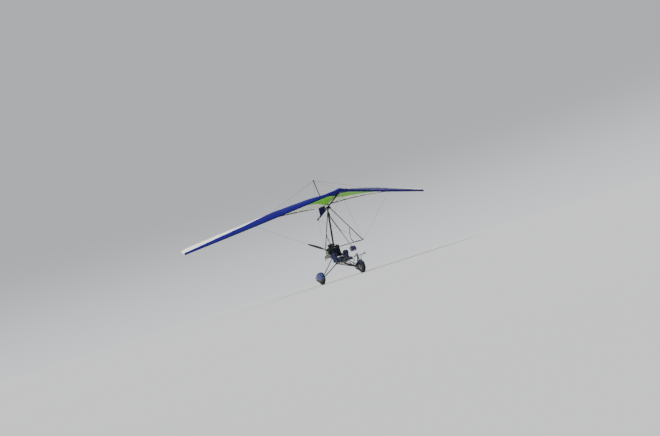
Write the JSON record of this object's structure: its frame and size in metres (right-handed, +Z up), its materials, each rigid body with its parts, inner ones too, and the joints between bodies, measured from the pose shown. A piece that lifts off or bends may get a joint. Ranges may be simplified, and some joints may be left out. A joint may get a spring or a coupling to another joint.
{
  "type": "ultralight aircraft",
  "caption": "Tandem-seat ultralight aircraft: a delta fabric wing hangs above a wheeled frame, is tilted with a control bar, and a rear engine turns a pusher propeller.",
  "frame": {"origin": "middle of the aircraft's outline on the ground it stands on", "axes": "+X to the aircraft's left, along the span; -Y forward, towards the nose; +Z up"},
  "size_m": [10, 3.2522, 3.6755],
  "materials": {
    "sail": "matte",
    "nose_fabric": "matte",
    "dark_tube": "satin",
    "grey_tube": "satin",
    "cable": "satin",
    "steel": "satin",
    "rim": "satin",
    "engine": "matte",
    "gearbox": "satin",
    "exhaust": "satin",
    "tyre": "matte",
    "propeller": "gloss",
    "blue_shell": "gloss",
    "upholstery": "matte",
    "bag": "matte",
    "tank": "satin"
  },
  "bodies": {
    "trike": {"mast": "dark_tube", "front_strut": "grey_tube", "base_tube": "dark_tube", "steering_head": "dark_tube", "wheel_spat_left": "blue_shell", "wheel_spat_right": "blue_shell", "main_leg_left": "dark_tube", "main_leg_right": "dark_tube", "main_strut_left": "dark_tube", "main_strut_right": "dark_tube", "seat_rail_left": "dark_tube", "seat_rail_right": "dark_tube", "seat_hoop": "dark_tube", "seat_rear_cushion": "upholstery", "seat_rear_back": "upholstery", "seat_front_cushion": "upholstery", "seat_front_back": "upholstery", "fuel_tank": "tank", "pannier_left": "bag", "pannier_right": "bag", "instrument_pod": "blue_shell", "engine_mount": "steel", "engine": "engine", "gearbox": "gearbox", "intake": "steel", "exhaust": "exhaust"},
    "nose_fork": {"nose_fork": "grey_tube", "nose_mudguard": "blue_shell"},
    "nose_wheel": {"nose_tyre": "tyre", "nose_rim": "rim"},
    "main_wheel_left": {"main_tyre_left": "tyre", "main_rim_left": "rim"},
    "main_wheel_right": {"main_tyre_right": "tyre", "main_rim_right": "rim"},
    "propeller": {"propeller": "propeller"},
    "hang_block": {"hang_block": "steel"},
    "wing": {"sail_left": "sail", "sail_right": "sail", "nose_cone": "nose_fabric", "keel_tube": "dark_tube", "keel_pocket": "nose_fabric", "king_post": "dark_tube", "control_base_bar": "dark_tube", "control_upright_left": "dark_tube", "control_upright_right": "dark_tube", "training_bar_left": "dark_tube", "training_bar_right": "dark_tube", "flying_wire_left": "cable", "flying_wire_right": "cable", "front_wire_left": "cable", "front_wire_right": "cable", "rear_wire_left": "cable", "rear_wire_right": "cable", "landing_wire_left": "cable", "landing_wire_right": "cable", "top_wire_front": "cable", "top_wire_rear": "cable"}
  },
  "joints": [
    {"name": "nose_steering", "type": "hinge", "parent": "trike", "child": "nose_fork", "pos_m": [0, -1.3942, 0.46], "axis": [0, 0.1448, 0.9895], "range_deg": [-25, 25]},
    {"name": "nose_wheel_spin", "type": "hinge", "parent": "nose_fork", "child": "nose_wheel", "pos_m": [0, -1.4092, 0.2], "axis": [1, 0, 0], "continuous": true},
    {"name": "main_wheel_left_spin", "type": "hinge", "parent": "trike", "child": "main_wheel_left", "pos_m": [0.821, 0.1828, 0.2], "axis": [1, 0, 0], "continuous": true},
    {"name": "main_wheel_right_spin", "type": "hinge", "parent": "trike", "child": "main_wheel_right", "pos_m": [-0.821, 0.1828, 0.2], "axis": [1, 0, 0], "continuous": true},
    {"name": "propeller_spin", "type": "hinge", "parent": "trike", "child": "propeller", "pos_m": [0, 0.7318, 1.144], "axis": [0, 1, 0], "continuous": true},
    {"name": "wing_pitch", "type": "hinge", "parent": "trike", "child": "hang_block", "pos_m": [0, -0.25417, 2.46162], "axis": [1, 0, 0], "range_deg": [-11.5, 6]},
    {"name": "wing_roll", "type": "hinge", "parent": "hang_block", "child": "wing", "pos_m": [0, -0.2392, 2.53], "axis": [0, 0.9769, -0.2139], "range_deg": [-18, 18]}
  ]
}
